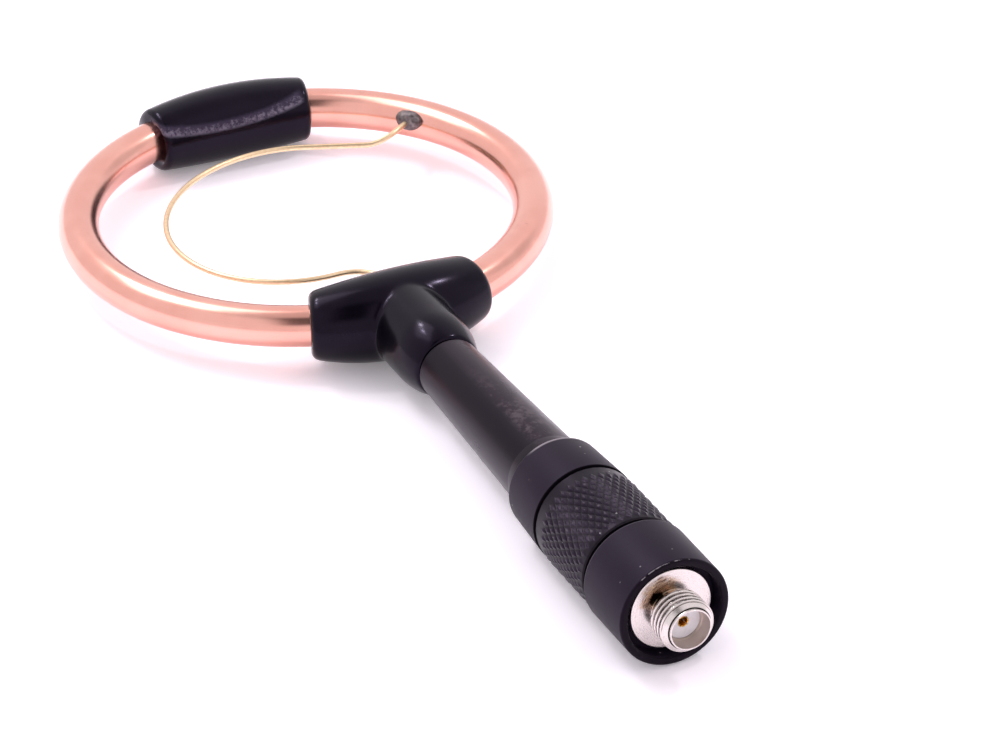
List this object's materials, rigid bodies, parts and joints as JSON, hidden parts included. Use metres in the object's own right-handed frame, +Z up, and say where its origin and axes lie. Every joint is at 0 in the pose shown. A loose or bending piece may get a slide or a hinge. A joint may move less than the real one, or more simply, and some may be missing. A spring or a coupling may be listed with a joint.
{
  "type": "radio loop antenna",
  "caption": "Hand-held loop antenna: copper tube loop with black sleeve and tee, thin tap wire, tapering stem and a turning knurled base with a threaded coaxial jack.",
  "frame": {"origin": "centre of the hood's rim, on the jack's axis", "axes": "+Y along the stem from the jack to the loop, +Z up, square to the loop's plane, +X to the right"},
  "size_m": [0.0604, 0.1367, 0.0132],
  "materials": {
    "copper": "bare copper, satin to polished",
    "gloss_black": "gloss black moulding",
    "ceramic_brown": "dipped ceramic",
    "tinned_wire": "tinned",
    "solder": "dull grey solder",
    "gold_wire": "bare drawn wire",
    "stem_black": "satin black",
    "cable_black": "smooth jacket",
    "white_insulator": "white insulator",
    "base_black": "satin black, worn at the rim",
    "nickel": "bright nickel plate",
    "washer_black": "plain",
    "bush_brass": "turned",
    "gold_plate": "gold plate"
  },
  "bodies": {
    "head": {"copper_ring": "copper", "top_sleeve": "gloss_black", "gap_capacitor": "ceramic_brown", "capacitor_leads": "tinned_wire", "gap_solder": "solder", "tee_body": "gloss_black", "gamma_wire": "gold_wire", "tap_solder": "solder", "feed_solder": "solder", "ground_solder": "solder", "stem_tube": "stem_black", "coax_jacket": "cable_black", "coax_braid": "copper", "coax_dielectric": "white_insulator", "coax_centre": "copper", "base_collar": "base_black", "swivel_spindle": "nickel", "retaining_ring": "nickel", "bearing_washer": "washer_black"},
    "base": {"swivel_bush": "bush_brass", "knurled_grip": "base_black", "base_hood": "base_black", "sma_body": "nickel", "sma_dielectric": "white_insulator", "sma_contact": "gold_plate", "lock_washer": "nickel", "sma_nut": "nickel", "crimp_ferrule": "nickel"}
  },
  "joints": [
    {"name": "base_turn", "type": "hinge", "parent": "head", "child": "base", "pos_m": [0, 0, 0], "axis": [0, 1, 0], "range_deg": [-180, 180]}
  ]
}
